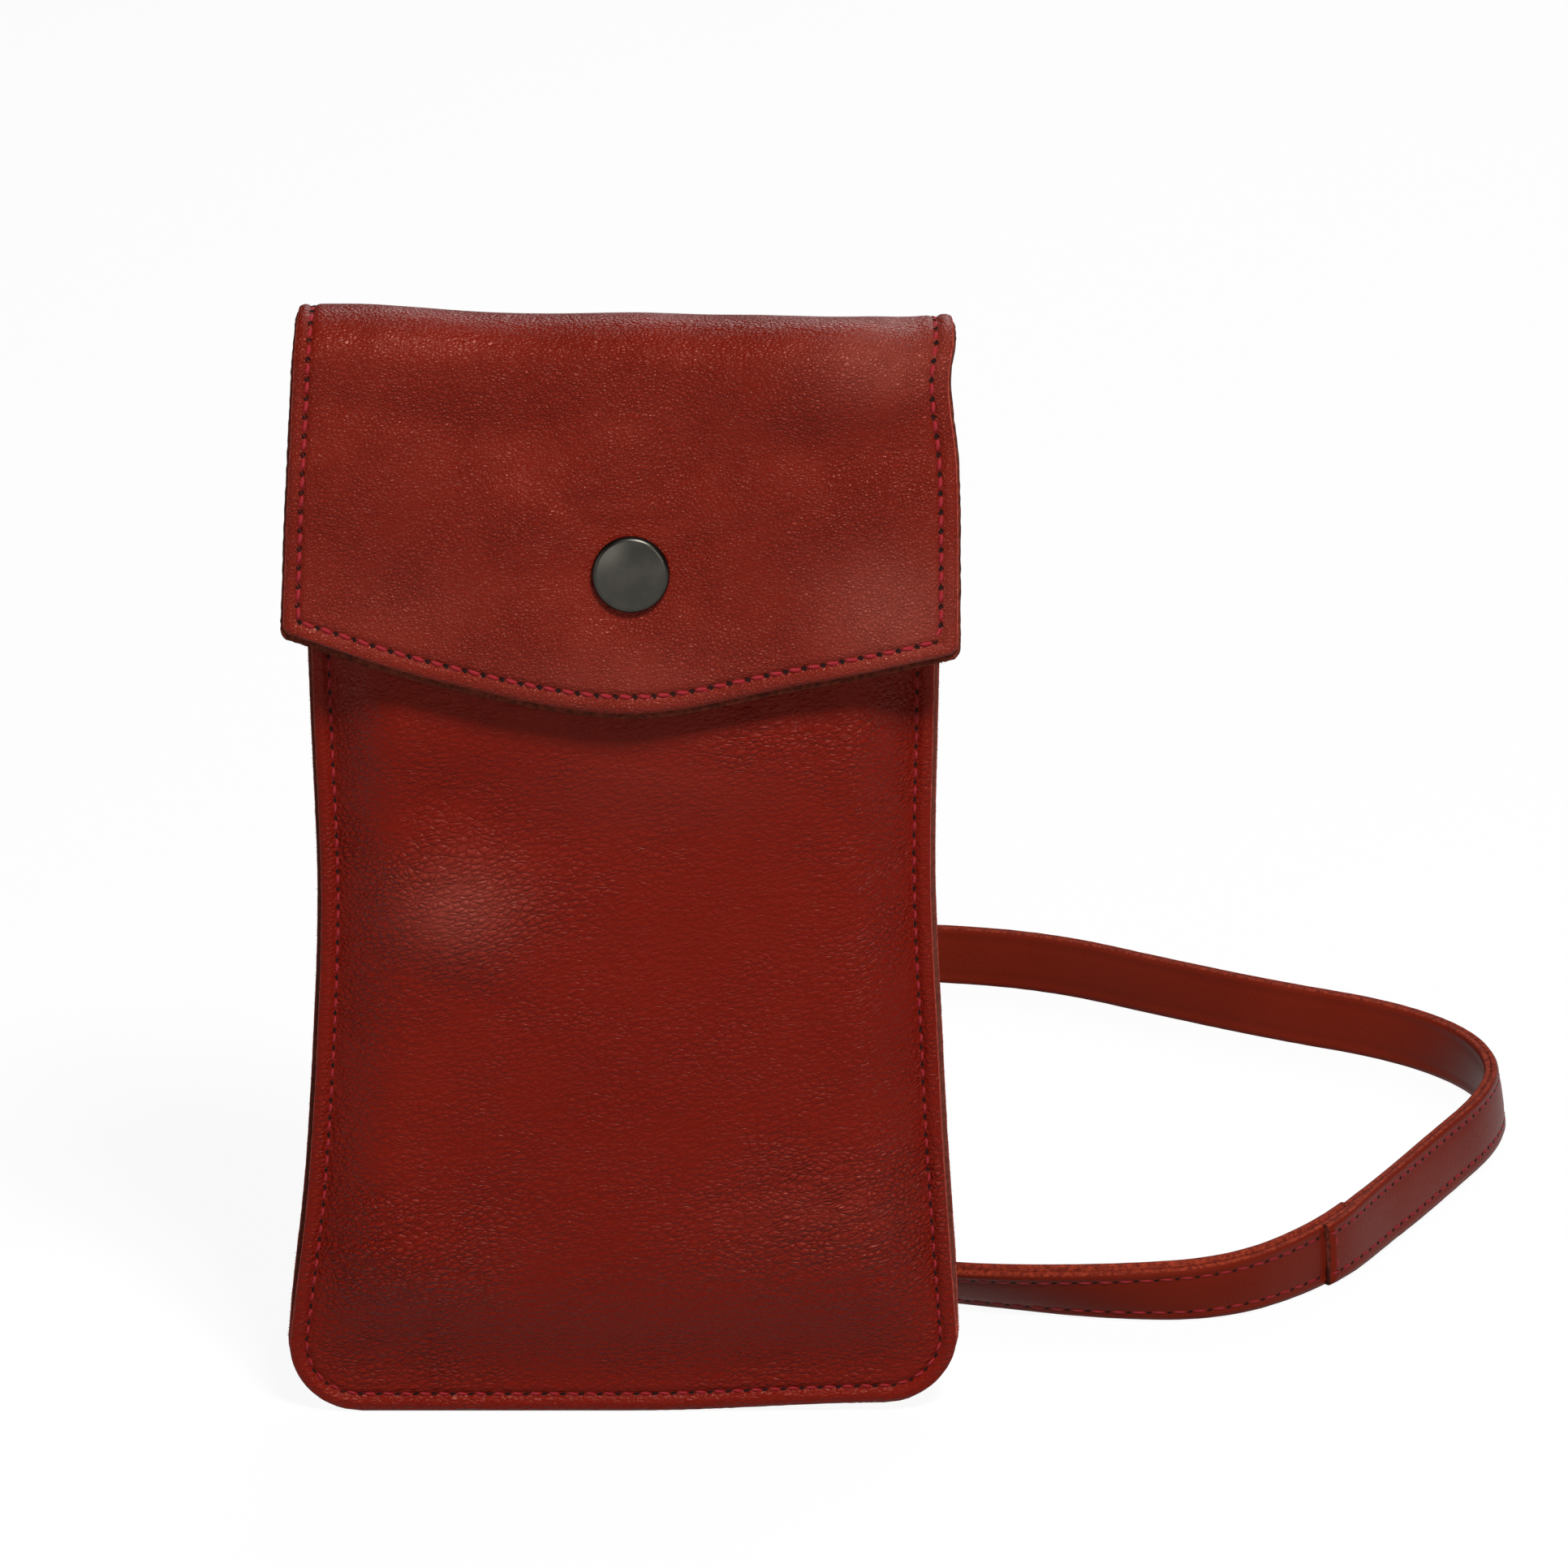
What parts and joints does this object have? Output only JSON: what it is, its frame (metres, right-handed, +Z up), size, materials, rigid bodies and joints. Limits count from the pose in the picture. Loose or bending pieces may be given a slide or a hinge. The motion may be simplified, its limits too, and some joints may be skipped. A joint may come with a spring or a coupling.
{
  "type": "phone pouch",
  "caption": "Soft leather phone pouch, open at the top under a stitched flap with a metal snap, with a long narrow shoulder strap lying in a loop behind and beside it.",
  "frame": {"origin": "on the floor under the middle of the pouch, its strap not counted", "axes": "+Z up, front with the flap and snap towards -Y, +X to the right as seen from the front"},
  "size_m": [0.2115, 0.234, 0.1904],
  "materials": {
    "red_leather": "satin, fine grain",
    "lining": "matt, sueded",
    "thread": "waxed",
    "snap_metal": "dark gunmetal"
  },
  "bodies": {
    "pouch": {"back_panel": "red_leather", "front_panel": "red_leather", "back_lining": "lining", "front_lining": "lining", "seam_thread_front": "thread", "seam_thread_back": "thread", "snap_stud": "snap_metal", "snap_post": "snap_metal", "strap_end_left": "red_leather", "strap_end_right": "red_leather", "strap_end_thread_left": "thread", "strap_end_thread_right": "thread", "strap_drop_left": "red_leather", "strap_drop_right": "red_leather", "strap_turn_left": "red_leather", "strap_turn_right": "red_leather", "strap_rear_length": "red_leather", "strap_front_length": "red_leather"},
    "fold": {"fold_leather": "red_leather", "fold_backing": "red_leather", "fold_threads": "thread"},
    "flap": {"flap_leather": "red_leather", "flap_backing_leather": "red_leather", "flap_thread_front": "thread", "flap_thread_back": "thread", "snap_cap": "snap_metal", "snap_socket": "snap_metal", "snap_spring": "snap_metal"}
  },
  "joints": [
    {"name": "fold_turn", "type": "hinge", "parent": "pouch", "child": "fold", "pos_m": [0, 0.00966, 0.1813], "axis": [-1, 0, 0], "range_deg": [0, 90]},
    {"name": "flap_turn", "type": "hinge", "parent": "fold", "child": "flap", "pos_m": [0, -0.00734, 0.1813], "axis": [-1, 0, 0], "range_deg": [0, 90]}
  ],
  "couplings": [
    {"joint": "flap_turn", "follows": "fold_turn", "ratio": 1}
  ]
}
